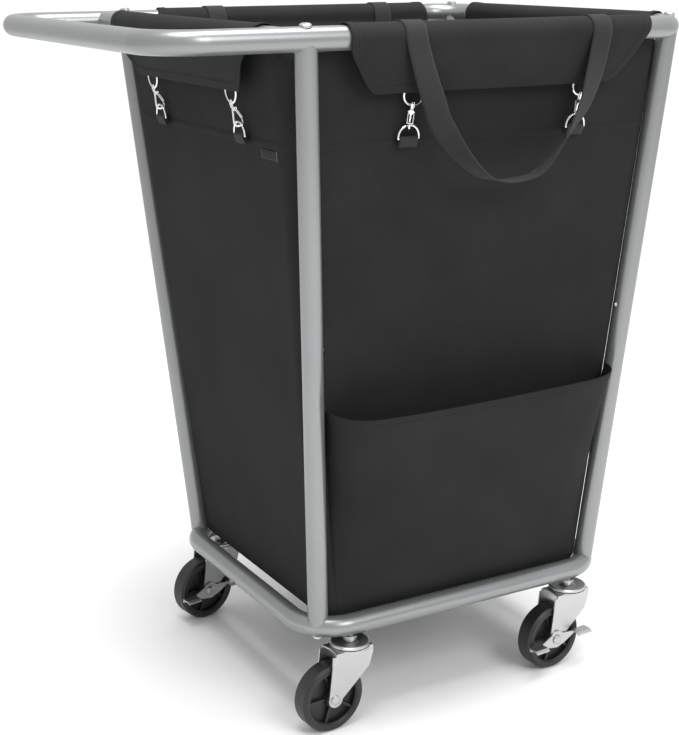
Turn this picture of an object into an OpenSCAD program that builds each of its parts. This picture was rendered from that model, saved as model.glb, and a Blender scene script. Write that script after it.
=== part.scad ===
// Rolling laundry sorter: tube frame on four swivel casters, with a hanging fabric bag.
// All sizes in millimetres. X runs from the push handle (-X) to the far end (+X), Z is up.

/* [Frame] */
// Outside diameter of the rail and ring tube
tube_d = 25; // [22:0.5:30]
// Wall thickness of the frame tubes
tube_wall = 1.5; // [1:0.1:2]
// Height of the top rail's centre above the floor
rail_z = 793.2; // [700:1:900]
// Width between the centres of the two long rails
rail_w = 472.2; // [440:1:520]
// Distance from the bottom ring's centre to the end rail
rail_end = 249.9; // [240:0.1:270]
// Distance from the bottom ring's centre to the push handle
handle_reach = 399; // [360:1:450]
// Distance from the bottom ring's centre to the cross tube that carries the bag
cross_x = 270; // [262:1:280]
// Height of the bottom ring's centre above the floor
ring_z = 123.2; // [118:0.1:140]
// Length of the bottom ring between tube centres
ring_l = 415.2; // [400:0.1:430]
// Width of the bottom ring between tube centres
ring_w = 355.2; // [340:0.1:370]
// Bend radius of every corner, at the tube's centre
bend_r = 50; // [45:1:60]

/* [Legs] */
// Outside diameter of the leg tube
leg_d = 23.5; // [20:0.5:25]
// Distance of the left leg tops from the ring's centre
leg_top_x = 242; // [238:1:244]
// Where the lower leg meets the upper leg, as a share of its length
leg_split = 0.477; // [0.3:0.001:0.7]

/* [Casters] */
// Wheel diameter
wheel_d = 82.4; // [75:0.2:85]
// Wheel width
wheel_w = 24; // [20:0.5:26]
// Offset of the axle behind the stem
trail = 29.7; // [25:0.1:32]
// Distance of the stems from the ring's centre
stem_x = 159; // [150:1:165]

/* [Bag] */
// Thickness of the bag's doubled cloth
cloth = 1.6; // [1.2:0.1:2]
// Height of the bag's underside above the floor
bag_z = 128; // [127:0.5:135]
// Height of the cut edge of the bag's walls
bag_top = 780; // [776:0.5:780]
// Length of the bag's bottom
bag_l = 374; // [360:1:380]
// Width of the bag's bottom
bag_w = 324; // [310:1:326]
// Height of the pocket's mouth
pocket_z = 391; // [300:1:450]
// How far the pocket stands out at its mouth
pocket_out = 64; // [20:1:66]
// Depth of the folded flaps below the rail's centre
flap_drop = 57.7; // [50:0.1:62]
// Width of the carry straps
strap_w = 25; // [20:1:30]
// Spacing of the carry straps' ends
strap_span = 246; // [220:1:280]
// Depth of the carry strap's loop below the rail's centre
strap_drop = 157; // [120:1:200]

/* [Hidden] */
$fn = 64;

tube_r = tube_d / 2;
leg_r = leg_d / 2;
leg_wall = 1.3;
half_w = rail_w / 2;
bend_dip = bend_r * (1 - cos(45));
// The ring's centre sits off the origin so that the origin is under the middle of the whole cart
end_stand = tube_r + 2.1;
ring_x = (handle_reach + tube_r - rail_end - end_stand) / 2;
axle_z = wheel_d / 2;

// Legs 1 to 4: near handle, near end, far handle, far end. [sign of X, sign of Y]
CORNERS = [[-1, -1], [1, -1], [-1, 1], [1, 1]];
// How far each caster is turned at rest
CASTER_TURN = [4, 4, 10, 7];

function leg_foot(i) = [
    CORNERS[i][0] * (ring_l / 2 - bend_dip),
    CORNERS[i][1] * (ring_w / 2 - bend_dip),
    ring_z
];
function leg_head(i) = CORNERS[i][0] < 0
    ? [-leg_top_x, CORNERS[i][1] * half_w, rail_z]
    : [rail_end - bend_dip, CORNERS[i][1] * (half_w - bend_dip), rail_z];
function leg_len(i) = norm(leg_head(i) - leg_foot(i));

// Puts children on the ring's centre
module at_ring() {
    translate([ring_x, 0, 0]) children();
}

// Puts children on leg i's axis: Z runs up the leg, starting at the height s along it
module on_leg(i, s) {
    v = leg_head(i) - leg_foot(i);
    translate(leg_foot(i) + v * (s / leg_len(i)))
        rotate([0, acos(v[2] / norm(v)), atan2(v[1], v[0])])
            children();
}

module bar_x(x0, x1, y, r) {
    translate([x0, y, 0]) rotate([0, 90, 0]) cylinder(r = r, h = x1 - x0);
}

module bar_y(y0, y1, x, r) {
    translate([x, y0, 0]) rotate([-90, 0, 0]) cylinder(r = r, h = y1 - y0);
}

module bend(x, y, turn, r) {
    translate([x, y, 0]) rotate([0, 0, turn])
        rotate_extrude(angle = 90) translate([bend_r, 0]) circle(r = r);
}

// A closed rounded rectangle of tube of radius r, from x0 to x1 and w wide, at z = 0
module tube_loop(x0, x1, w, r) {
    bar_x(x0 + bend_r, x1 - bend_r, -w / 2, r);
    bar_x(x0 + bend_r, x1 - bend_r, w / 2, r);
    bar_y(-w / 2 + bend_r, w / 2 - bend_r, x0, r);
    bar_y(-w / 2 + bend_r, w / 2 - bend_r, x1, r);
    bend(x1 - bend_r, w / 2 - bend_r, 0, r);
    bend(x0 + bend_r, w / 2 - bend_r, 90, r);
    bend(x0 + bend_r, -w / 2 + bend_r, 180, r);
    bend(x1 - bend_r, -w / 2 + bend_r, 270, r);
}

module rail_body(r) {
    translate([0, 0, rail_z]) tube_loop(-handle_reach, rail_end, rail_w, r);
}

module ring_body(r) {
    translate([0, 0, ring_z]) tube_loop(-ring_l / 2, ring_l / 2, ring_w, r);
}

// ---- frame ----
bolt_r = 4;
bolt_clear = 0.25;

module top_rail() {
    color("silver") at_ring() difference() {
        rail_body(tube_r);
        rail_body(tube_r - tube_wall);
        for (i = [0:3]) on_leg(i, leg_len(i) - 20) cylinder(r = bolt_r + bolt_clear, h = 40);
    }
}

module cross_tube() {
    color("silver") at_ring() difference() {
        translate([0, 0, rail_z]) bar_y(-half_w, half_w, -cross_x, tube_r);
        translate([0, 0, rail_z]) bar_y(-half_w - 1, half_w + 1, -cross_x, tube_r - tube_wall);
        rail_body(tube_r);
    }
}

module bottom_ring() {
    color("silver") at_ring() difference() {
        ring_body(tube_r);
        ring_body(tube_r - tube_wall);
        for (i = [0:3]) {
            on_leg(i, -20) cylinder(r = bolt_r + bolt_clear, h = 40);
            stem_at(i) translate([0, 0, ring_z - 20]) cylinder(r = stem_r + bolt_clear, h = 20);
        }
    }
}

spigot = 45;
spigot_gap = 0.15;
button_r = 3;
button_up = 21;

// A snap button's axis points from the leg towards the middle of the cart
module on_button(i) {
    on_leg(i, leg_len(i) * leg_split + button_up)
        rotate([0, 0, -atan2(leg_head(i)[1] - leg_foot(i)[1], leg_head(i)[0] - leg_foot(i)[0])])
            rotate([0, -CORNERS[i][0] * 90, 0])
                children();
}

module upper_leg(i) {
    split = leg_len(i) * leg_split;
    color("silver") at_ring() difference() {
        on_leg(i, split) difference() {
            cylinder(r = leg_r, h = leg_len(i) - split);
            translate([0, 0, -1]) cylinder(r = leg_r - leg_wall, h = leg_len(i) - split + 2);
        }
        rail_body(tube_r);
        on_button(i) cylinder(r = button_r + 0.1, h = 20);
    }
}

module lower_leg(i) {
    split = leg_len(i) * leg_split;
    neck_r = leg_r - leg_wall - spigot_gap;
    color("silver") at_ring() difference() {
        on_leg(i, 0) difference() {
            union() {
                cylinder(r = leg_r, h = split);
                translate([0, 0, split - 1]) cylinder(r = neck_r, h = spigot + 1);
            }
            translate([0, 0, -1]) cylinder(r = leg_r - leg_wall, h = split - 8);
            translate([0, 0, split - 10]) cylinder(r = neck_r - leg_wall, h = spigot + 12);
        }
        ring_body(tube_r);
        on_button(i) cylinder(r = button_r + 0.1, h = 20);
    }
}

plug_r = leg_r - leg_wall;
plug_h = 24;
plug_start = 16;

// Threaded plugs pressed into both ends of each leg
module leg_plugs() {
    color("dimgray") at_ring() for (i = [0:3]) {
        on_leg(i, plug_start) plug();
        on_leg(i, leg_len(i) - plug_start - plug_h) plug();
    }
}

module plug() {
    difference() {
        cylinder(r = plug_r, h = plug_h);
        translate([0, 0, -1]) cylinder(r = bolt_r, h = plug_h + 2);
    }
}

bolt_head_r = 6.3;
bolt_head_h = 3.2;

module leg_bolts() {
    color("gainsboro") at_ring() {
        difference() {
            for (i = [0:3]) on_leg(i, leg_len(i)) leg_bolt();
            rail_crown();
        }
        difference() {
            for (i = [0:3]) on_leg(i, 0) rotate([180, 0, 0]) leg_bolt();
            ring_crown();
        }
    }
}

// The tube wall that a bolt head sits on, without the bolt holes
module rail_crown() {
    difference() {
        rail_body(tube_r);
        for (i = [0:3]) on_leg(i, leg_len(i) - 20) cylinder(r = bolt_r + bolt_clear, h = 40);
    }
}

module ring_crown() {
    difference() {
        ring_body(tube_r);
        for (i = [0:3]) on_leg(i, -20) cylinder(r = bolt_r + bolt_clear, h = 40);
    }
}

// A domed bolt with its shank down the tube: the tube's centre is at z = 0
module leg_bolt() {
    translate([0, 0, -36]) cylinder(r = bolt_r, h = 36 + tube_r + 1);
    translate([0, 0, tube_r - 0.8]) cylinder(r = bolt_head_r, h = bolt_head_h - 0.6);
    translate([0, 0, tube_r - 1.4 + bolt_head_h])
        cylinder(r1 = bolt_head_r, r2 = bolt_head_r - 1.6, h = 1.2);
}

module snap_buttons() {
    color("gainsboro") at_ring() for (i = [0:3]) on_button(i) {
        translate([0, 0, leg_r - 4]) cylinder(r = button_r, h = 4);
        translate([0, 0, leg_r]) cylinder(r1 = button_r, r2 = 1.5, h = 2);
    }
}

// ---- casters ----
stem_r = 5;
pivot_r = 4.9;
race_z = 99.2;
race_r = 23.4;
fork_gap = 27;
plate = 2;
fork_top = race_z - 1;
axle_r = 4;
axle_run = 0.06;
caster_base = ring_z - tube_r;

module stem_at(i) {
    translate([CORNERS[i][0] * stem_x, CORNERS[i][1] * ring_w / 2, 0]) children();
}

// A caster's own frame: stem on Z, the wheel trailing towards -X
module on_caster(i) {
    at_ring() stem_at(i) rotate([0, 0, CASTER_TURN[i]]) children();
}

nut_up = 4.2;

module stem_nuts() {
    color("gray") at_ring() for (i = [0:3]) stem_at(i) translate([0, 0, caster_base + nut_up])
        difference() {
            cylinder(r = 8, h = 7, $fn = 6);
            translate([0, 0, -1]) cylinder(r = stem_r, h = 9);
        }
}

// Threaded stem with its collar and the dished upper race
module caster_stem(i) {
    color("lightgray") on_caster(i) {
        translate([0, 0, race_z]) rotate_extrude() polygon([
            [0, 0.3], [20, 0.3], [race_r, 1.2], [race_r, 3.4], [race_r - 1.4, 4.6],
            [race_r - 4, 4], [11, 2.9], [6.4, 4.5], [6.4, 7.5], [0, 7.5]
        ]);
        translate([0, 0, caster_base - 4.2]) difference() {
            cylinder(r = 8.4, h = 4.2);
            translate([0, 0, 4.2 + tube_r]) rotate([90, 0, -CASTER_TURN[i]]) rotate([0, 90, 0])
                cylinder(r = tube_r, h = 40, center = true);
        }
        translate([0, 0, race_z + 6]) cylinder(r = stem_r, h = caster_base + 12 - race_z - 6);
        translate([0, 0, fork_top - plate - 3]) cylinder(r = pivot_r, h = 7);
        translate([0, 0, fork_top - plate - 3.4]) cylinder(r = 8, h = 3);
    }
}

// Side plate outline in the caster's X and Z
module fork_side() {
    difference() {
        linear_extrude(height = fork_gap + 2 * plate, center = true) union() {
            polygon([
                [-32, fork_top], [22.5, fork_top], [22.5, fork_top - 9],
                [17, fork_top - 26], [-trail + 9.2, axle_z - 1], [-trail - 9.2, axle_z - 1]
            ]);
            translate([-trail, axle_z]) circle(r = 9.4);
        }
        translate([-60, 0, -fork_gap / 2]) cube([120, fork_top - plate, fork_gap]);
    }
}

module fork(i) {
    color("gainsboro") on_caster(i) difference() {
        union() {
            rotate([90, 0, 0]) fork_side();
            translate([0, 0, fork_top - plate]) cylinder(r = race_r, h = plate + 1);
        }
        translate([-70, 0, fork_top - plate - 1]) cylinder(r = 44, h = plate + 3);
        translate([0, 0, fork_top - plate - 1]) cylinder(r = pivot_r + 0.06, h = plate + 3);
        translate([-trail, 0, axle_z]) rotate([90, 0, 0]) cylinder(r = axle_r, h = 60, center = true);
    }
}

axle_l = fork_gap + 2 * plate;

// Rivet with a domed head on each side, long enough on braked casters to carry the lever
module axle(i) {
    carries_lever = i == 1 || i == 2;
    near_l = axle_l / 2 + (carries_lever ? lever_gap + lever_t + 0.3 : 0);
    color("gainsboro") on_caster(i) translate([-trail, 0, axle_z]) {
        rotate([90, 0, 0]) translate([0, 0, -axle_l / 2]) cylinder(r = axle_r, h = axle_l / 2 + near_l);
        rotate([90, 0, 0]) translate([0, 0, near_l]) rivet_head();
        rotate([-90, 0, 0]) translate([0, 0, axle_l / 2]) rivet_head();
    }
}

module rivet_head() {
    cylinder(r = 6, h = 1.2);
    translate([0, 0, 1.2]) cylinder(r1 = 6, r2 = 3.6, h = 1.2);
}

// Moulded wheel: rim, thin web, hub and ten ribs
rim_in = 31;
hub_r = 10.5;
web_t = 8;

module wheel(i) {
    color("#262626") on_caster(i) translate([-trail, 0, axle_z]) rotate([90, 0, 0]) difference() {
        union() {
            rotate_extrude() polygon([
                [hub_r - 1, -web_t / 2], [rim_in + 1, -web_t / 2], [rim_in, -wheel_w / 2 + 2.4],
                [rim_in + 2, -wheel_w / 2], [axle_z - 3, -wheel_w / 2], [axle_z, -wheel_w / 2 + 3],
                [axle_z, wheel_w / 2 - 3], [axle_z - 3, wheel_w / 2], [rim_in + 2, wheel_w / 2],
                [rim_in, wheel_w / 2 - 2.4], [rim_in + 1, web_t / 2], [hub_r - 1, web_t / 2]
            ]);
            cylinder(r = hub_r, h = fork_gap - 1, center = true);
            for (k = [0:4]) rotate([0, 0, 36 + 72 * k]) translate([hub_r - 1, -1.6, -wheel_w / 2 + 3.5])
                cube([rim_in - hub_r + 2, 3.2, wheel_w - 7]);
        }
        cylinder(r = axle_r + axle_run, h = 60, center = true);
    }
}

lever_gap = 0.3;
lever_t = 2;

// Rocking brake lever on the near end of the axle, with a pedal at each end
module brake_lever(i) {
    y0 = -axle_l / 2 - lever_gap;
    color("gainsboro") on_caster(i) translate([-trail, 0, axle_z]) difference() {
        union() {
            translate([0, y0, 0]) rotate([90, 0, 0]) linear_extrude(height = lever_t) union() {
                circle(r = 11);
                polygon([[-25, -6], [-13, -9], [0, -11], [13, -7], [27, 1], [27, 5], [9, 6.4],
                    [0, 11], [-9, 6.4], [-25, -2]]);
            }
            translate([-43, y0 - lever_t, -6]) rotate([90, 0, 0]) rotate([0, 90, 0]) pedal(20);
            translate([25, y0 - lever_t, 2]) rotate([90, 0, 0]) rotate([0, 90, 0]) pedal(22);
        }
        rotate([90, 0, 0]) cylinder(r = axle_r + axle_run, h = 60, center = true);
    }
}

// Flat foot pedal, l long, reaching outwards from the lever plate
module pedal(l) {
    linear_extrude(height = l) polygon([[lever_t, 0], [lever_t, 4.4], [-9, 4.4], [-12.5, 2.6],
        [-12.5, 0.8], [-9, 2.6], [0, 2.6], [0, 0]]);
}

// ---- bag ----
wrap_in = tube_r + 0.5;
wrap_out = wrap_in + cloth;
bag_left = cross_x - wrap_in;
bag_right = rail_end - wrap_in;
bag_half = half_w - wrap_in;
bag_rise = bag_top - bag_z;

// A thin slab of the bag's plan: lx and rx are its ends, hw its half width
module plan_slab(lx, rx, hw, r, z) {
    translate([0, 0, z]) hull() {
        for (x = [-lx + r, rx - r], y = [-hw + r, hw - r])
            translate([x, y, 0]) cylinder(r = r, h = 0.01, $fn = 32);
    }
}

foot_corner = 22;
top_corner = 38;

// The bag's outer form, drawn in by t
module bag_form(t, z0, z1) {
    hull() {
        plan_slab(bag_l / 2 - t, bag_l / 2 - t, bag_w / 2 - t, foot_corner - t, z0);
        plan_slab(bag_left - t, bag_right - t, bag_half - t, top_corner - t, z1);
    }
}

module bag_shell() {
    color("#303030") at_ring() difference() {
        bag_form(0, bag_z, bag_top);
        bag_form(cloth, bag_z + cloth, bag_top + 1);
    }
}

board_t = 3;

module base_board() {
    color("#202020") at_ring() translate([0, 0, bag_z + cloth + 0.1]) linear_extrude(height = board_t)
        difference() {
            square([bag_l - 12, bag_w - 12], center = true);
            for (i = [0:3]) translate([CORNERS[i][0] * (bag_l / 2 - 6), CORNERS[i][1] * (bag_w / 2 - 6)])
                rotate([0, 0, 45]) square(24, center = true);
        }
}

pocket_foot = 132;
pocket_half = 194;
// The pocket stands out less at its far end
pocket_skew = 12;

// The pocket's outer form, drawn in by t
module pocket_form(t, z0, z1) {
    y_top = -(bag_w / 2 + (pocket_z - bag_z) / bag_rise * (bag_half - bag_w / 2));
    hull() {
        translate([0, 0, z0]) linear_extrude(height = 0.01)
            polygon([[-174 + t, -150], [-174 + t, -158], [-168 + t, -163.6 + t],
                [168 - t, -163.6 + t], [174 - t, -158], [174 - t, -150]]);
        translate([0, 0, z1]) linear_extrude(height = 0.01) union() {
            translate([-pocket_half + 34, y_top - pocket_out + 34]) circle(r = 34 - t, $fn = 32);
            translate([pocket_half - 46, y_top - pocket_out + 46 + pocket_skew])
                circle(r = 46 - t, $fn = 32);
            translate([-pocket_half + t, y_top + 2]) square([2 * (pocket_half - t), 20]);
        }
    }
}

module pocket() {
    color("#303030") at_ring() difference() {
        pocket_form(0, pocket_foot, pocket_z);
        pocket_form(cloth, pocket_foot + cloth, pocket_z + 1);
        bag_form(0, bag_z, bag_top);
    }
}

// Each side's own frame: X along the rail, -Y outwards, rail centre on Y = 0
// Sides 0 to 3: near, far, handle, end
module on_side(s) {
    if (s == 0) translate([0, -half_w, 0]) children();
    if (s == 1) translate([0, half_w, 0]) mirror([0, 1, 0]) children();
    if (s == 2) translate([-cross_x, 0, 0]) rotate([0, 0, -90]) children();
    if (s == 3) translate([rail_end, 0, 0]) rotate([0, 0, 90]) children();
}

// The hem's inner edge from the rail's centre, and where the straight skirt leaves the rail
skirt_lean = 18.4;
hem = [skirt_lean - wrap_in, -flap_drop];
leave = atan2(hem[1], hem[0]) - acos(wrap_in / norm(hem));
skirt_out = [cos(leave), sin(leave)];
wall_gap = 0.05;

// Section across the rail: the cloth comes up inside, over the rail, and hangs outside
module flap_section() {
    difference() {
        union() {
            circle(r = wrap_out);
            translate([0, bag_top + wall_gap - rail_z]) square([wrap_out, rail_z - bag_top - wall_gap]);
            polygon([[0, 0], wrap_out * skirt_out, hem + cloth * skirt_out, hem]);
        }
        circle(r = wrap_in);
        polygon([[0, 0], wrap_in * skirt_out, hem, [wrap_in, -flap_drop], [wrap_in, 0]]);
    }
}

module flap(s, outline) {
    color("#2c2c2c") at_ring() on_side(s) intersection() {
        translate([-250, 0, rail_z]) rotate([90, 0, 90]) linear_extrude(height = 500) flap_section();
        translate([0, 60, 0]) rotate([90, 0, 0]) linear_extrude(height = 120) polygon(outline);
    }
}

// Half outlines of the hanging flaps: [along the rail, below the rail's centre]
long_flap_a = [[-197, 14], [-174, 47], [-160, 60]];
long_flap_b = [[137, 60], [154, 49], [177, 14]];
short_flap = [[-166, 22], [-134, 60]];
// Where the short flaps begin and end along their rail
handle_flap = [-180, 203];
end_flap = [-190, 190];

module long_flap(s) {
    flap(s, concat([[-198, rail_z + 20], [-198, rail_z]],
        [for (p = concat(long_flap_a, long_flap_b)) [p[0], rail_z - p[1]]],
        [[190, rail_z], [190, rail_z + 20]]));
}

module short_flap_of(s, ends) {
    flap(s, concat([[ends[0], rail_z + 20], [ends[0] + 3, rail_z - 3]],
        [for (p = short_flap) [p[0], rail_z - p[1]]],
        [for (k = [1:-1:0]) [-short_flap[k][0], rail_z - short_flap[k][1]]],
        [[ends[1] - 3, rail_z - 3], [ends[1], rail_z + 20]]));
}

// ---- carry straps ----
strap_t = 1.4;
strap_wrap = wrap_out + strap_t / 2 + 0.3;
strap_root = rail_z - 90;
strap_in = 5;
strap_pow = 2 / 1.7;
loop_steps = 40;
wrap_steps = 8;

// The strap's centre line in a side's frame, each point with the turn of its width
function wall_y(z) = wrap_out + 0.3 + strap_t / 2 + (bag_top - z) / bag_rise * (bag_half - bag_w / 2);
function loop_point(t) = [
    [-strap_span / 2 * sign(cos(t)) * pow(abs(cos(t)), strap_pow),
     -strap_wrap + strap_in * sin(t),
     rail_z - strap_drop * pow(sin(t), strap_pow)],
    90 * pow(sin(t), 1.2)
];
function rise(sx) = concat(
    [for (z = [strap_root, strap_root + 40, bag_top]) [[sx * strap_span / 2, wall_y(z), z], 0]],
    [for (k = [0:wrap_steps]) [[sx * strap_span / 2, strap_wrap * cos(180 * k / wrap_steps),
        rail_z + strap_wrap * sin(180 * k / wrap_steps)], 0]]);
function reversed(list) = [for (k = [len(list) - 1:-1:0]) list[k]];
STRAP = concat(rise(-1), [for (k = [1:loop_steps - 1]) loop_point(180 * k / loop_steps)],
    reversed(rise(1)));

function unit(v) = v / norm(v);
function tangent(path, k) =
    unit(path[min(k + 1, len(path) - 1)][0] - path[max(k - 1, 0)][0]);
// Width direction: along X where the strap lies on the rail, turned towards -Y in the loop
function across(path, k) = let (t = tangent(path, k), a = path[k][1], side = path[k][0][0])
    k <= wrap_steps + 3 ? [1, 0, 0]
    : k >= len(path) - wrap_steps - 4 ? [-1, 0, 0]
    : unit(cos(a) * unit(cross(t, [0, 1, 0])) - sin(a) * [0, 1, 0]);

module strap(s) {
    n = len(STRAP);
    corners = [for (k = [0:n - 1])
        let (c = STRAP[k][0], w = across(STRAP, k) * strap_w / 2,
            h = unit(cross(tangent(STRAP, k), w)) * strap_t / 2)
        each [c - w - h, c + w - h, c + w + h, c - w + h]];
    color("#454545") at_ring() on_side(s) polyhedron(
        points = corners,
        faces = concat(
            [[3, 2, 1, 0]],
            [for (k = [0:n - 2], j = [0:3]) let (a = 4 * k + j, b = 4 * k + (j + 1) % 4) [a, b, b + 4]],
            [for (k = [0:n - 2], j = [0:3]) let (a = 4 * k + j, b = 4 * k + (j + 1) % 4) [a, b + 4, a + 4]],
            [[4 * n - 4, 4 * n - 3, 4 * n - 2, 4 * n - 1]]));
}

// ---- rings, tabs and snap hooks ----
// For each side: where its hooks hang along it, how far in the eye is, and how far the hook leans
HOOK_S = [110, 110, 106, 106];
EYE_Y = [12, 12, 8.7, 9.4];
HOOK_TILT = [17.5, 17.5, 6, 9];
wall_tilt = atan((bag_half - bag_w / 2) / bag_rise);
wire_r = 1.3;
eye_w = 28;
eye_r = eye_w / 2 - wire_r;
eye_leg = 3.5;
eye_z = rail_z - 71.5;
pin_r = 1.6;
bar_r = 1.3;
crook_r = 4.6;
hook_l = 25.2;
// The nose stops short enough for the gate's end to swing past it
nose_h = 2;
// How far the hooks are turned about their own axis at rest: most gates face outwards
HOOK_TURN = [-120, -120, 55, -120];
gate_x = 3;
gate_z = -6.4;
gate_pin_r = 0.8;
gate_wire = 0.6;
gate_half = 3;
tab_w = 22;

function side_of(k) = floor(k / 2);
function gate_turn(k) = HOOK_TURN[side_of(k)];

// Hook k = 0 to 7, two on each side, in a frame whose Z is the hook's own axis
module on_hook(k) {
    s = side_of(k);
    at_ring() on_side(s) translate([(k % 2 == 0 ? -1 : 1) * HOOK_S[s], EYE_Y[s], eye_z])
        rotate([HOOK_TILT[s], 0, 0]) children();
}

// The lower ring hangs through the crook, lying along the bag's wall
module on_lower_ring(k) {
    on_hook(k) rotate([0, 0, gate_turn(k)]) translate([crook_r, 0, crook_r - hook_l])
        rotate([0, 0, -gate_turn(k)]) rotate([wall_tilt - HOOK_TILT[side_of(k)], 0, 0]) children();
}

// A D of wire with its round end centred on the origin and its bar leg + eye_r above
module wire_d(leg) {
    translate([0, 0, eye_r]) {
        rotate([90, 0, 0]) rotate([0, 0, 180]) rotate_extrude(angle = 180)
            translate([eye_r, 0]) circle(r = wire_r, $fn = 24);
        for (x = [-eye_r, eye_r]) translate([x, 0, 0]) cylinder(r = wire_r, h = leg, $fn = 24);
        translate([-eye_r, 0, leg]) rotate([0, 90, 0]) cylinder(r = wire_r, h = 2 * eye_r, $fn = 24);
        for (x = [-eye_r, eye_r]) translate([x, 0, leg]) sphere(r = wire_r, $fn = 24);
    }
}

module d_rings() {
    color("gainsboro") for (k = [0:7]) {
        on_hook(k) difference() {
            union() {
                wire_d(eye_leg);
                translate([0, 0, -2]) cylinder(r = 3, h = 4, $fn = 32);
            }
            translate([0, 0, -3]) cylinder(r = pin_r + 0.05, h = 6, $fn = 32);
        }
        on_lower_ring(k) mirror([0, 0, 1]) wire_d(1.5);
    }
}

// Webbing tabs: the upper ones behind the flap's hem, the lower ones sewn to the bag's wall
module ring_tabs() {
    color("#454545") {
        for (k = [0:7]) on_hook(k) difference() {
            translate([-tab_w / 2, -1.75, eye_r + 0.8]) cube([tab_w, 3.5, 9]);
            wire_d(eye_leg);
        }
        difference() {
            for (k = [0:7]) on_lower_ring(k) difference() {
                translate([-tab_w / 2, -1.75, -eye_r - 9]) cube([tab_w, 12, 11]);
                mirror([0, 0, 1]) wire_d(1.5);
            }
            at_ring() bag_form(0, bag_z, bag_top);
        }
    }
}

// Snap hook: pin through the eye, straight bar, crook and nose, with the gate side on +X
module hook(k) {
    color("gainsboro") on_hook(k) rotate([0, 0, gate_turn(k)]) {
        translate([0, 0, -4.4]) cylinder(r = pin_r, h = 7.6, $fn = 32);
        translate([0, 0, 2.2]) cylinder(r1 = 2.6, r2 = 1.6, h = 1.4, $fn = 32);
        translate([0, 0, -4.8]) cylinder(r = 2.4, h = 2.4, $fn = 32);
        translate([0, 0, crook_r - hook_l]) cylinder(r = bar_r, h = hook_l - crook_r - 4, $fn = 32);
        translate([crook_r, 0, crook_r - hook_l]) rotate([90, 0, 0]) rotate([0, 0, 180])
            rotate_extrude(angle = 180) translate([crook_r, 0]) circle(r = bar_r, $fn = 32);
        translate([2 * crook_r, 0, crook_r - hook_l]) cylinder(r = bar_r, h = nose_h, $fn = 32);
        difference() {
            translate([0.6, 0.8 - gate_half, gate_z - 2]) cube([gate_x + 1.2, 2 * gate_half - 1.6, 4]);
            translate([gate_x, -gate_half, gate_z]) rotate([-90, 0, 0])
                cylinder(r = gate_pin_r + 0.06, h = 2 * gate_half, $fn = 32);
        }
    }
}

// Wire gate: pin through the hook's shoulder, two legs and the end that meets the nose
module gate(k) {
    reach = 2 * crook_r - gate_x;
    drop = gate_z - (crook_r - hook_l + 3.6);
    length = norm([reach, drop]);
    color("gainsboro") on_hook(k) rotate([0, 0, gate_turn(k)]) translate([gate_x, 0, gate_z]) {
        rotate([90, 0, 0])
            cylinder(r = gate_pin_r, h = 2 * gate_half + 1.2, center = true, $fn = 32);
        rotate([0, -atan2(reach, drop), 0]) {
            for (y = [-gate_half, gate_half]) translate([0, y, -length])
                cylinder(r = gate_wire, h = length + 0.4, $fn = 24);
            translate([0, 0, -length]) rotate([90, 0, 0])
                cylinder(r = gate_wire, h = 2 * (gate_half + gate_wire), center = true, $fn = 24);
        }
    }
}

top_rail();
cross_tube();
bottom_ring();
upper_leg(0);  // upper_leg_1
upper_leg(1);  // upper_leg_2
upper_leg(2);  // upper_leg_3
upper_leg(3);  // upper_leg_4
lower_leg(0);  // lower_leg_1
lower_leg(1);  // lower_leg_2
lower_leg(2);  // lower_leg_3
lower_leg(3);  // lower_leg_4
leg_plugs();
leg_bolts();
snap_buttons();
stem_nuts();
caster_stem(0);  // caster_stem_1
caster_stem(1);  // caster_stem_2
caster_stem(2);  // caster_stem_3
caster_stem(3);  // caster_stem_4
fork(0);  // fork_1
fork(1);  // fork_2
fork(2);  // fork_3
fork(3);  // fork_4
axle(0);  // axle_1
axle(1);  // axle_2
axle(2);  // axle_3
axle(3);  // axle_4
wheel(0);  // wheel_1
wheel(1);  // wheel_2
wheel(2);  // wheel_3
wheel(3);  // wheel_4
brake_lever(1);  // brake_lever_2
brake_lever(2);  // brake_lever_3
bag_shell();
base_board();
pocket();
long_flap(0);  // flap_near
long_flap(1);  // flap_far
short_flap_of(2, handle_flap);  // flap_handle
short_flap_of(3, end_flap);  // flap_end
strap(0);  // strap_near
strap(1);  // strap_far
ring_tabs();
d_rings();
hook(0);  // hook_1
hook(1);  // hook_2
hook(2);  // hook_3
hook(3);  // hook_4
hook(4);  // hook_5
hook(5);  // hook_6
hook(6);  // hook_7
hook(7);  // hook_8
gate(0);  // gate_1
gate(1);  // gate_2
gate(2);  // gate_3
gate(3);  // gate_4
gate(4);  // gate_5
gate(5);  // gate_6
gate(6);  // gate_7
gate(7);  // gate_8
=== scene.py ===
"""Looks of the rolling laundry sorter: painted tube, zinc casters and the hanging fabric bag."""

import math

import bmesh
import bpy
from mathutils import Matrix, Vector


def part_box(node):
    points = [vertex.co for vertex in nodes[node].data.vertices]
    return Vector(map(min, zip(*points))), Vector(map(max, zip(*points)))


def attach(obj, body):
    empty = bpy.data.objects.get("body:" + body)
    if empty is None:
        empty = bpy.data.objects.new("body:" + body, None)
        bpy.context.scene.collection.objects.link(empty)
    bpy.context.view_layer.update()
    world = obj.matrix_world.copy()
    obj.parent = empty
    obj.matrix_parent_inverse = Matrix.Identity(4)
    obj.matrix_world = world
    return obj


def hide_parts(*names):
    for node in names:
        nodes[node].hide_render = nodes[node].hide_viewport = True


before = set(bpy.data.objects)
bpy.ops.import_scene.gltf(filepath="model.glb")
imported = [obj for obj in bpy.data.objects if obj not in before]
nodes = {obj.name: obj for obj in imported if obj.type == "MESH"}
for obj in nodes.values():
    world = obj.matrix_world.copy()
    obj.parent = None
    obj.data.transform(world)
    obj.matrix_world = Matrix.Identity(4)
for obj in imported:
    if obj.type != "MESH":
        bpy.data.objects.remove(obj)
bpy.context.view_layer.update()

# ---- where things are, in metres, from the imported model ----
MM = 0.001
ring_low, ring_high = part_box("bottom_ring")
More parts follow.
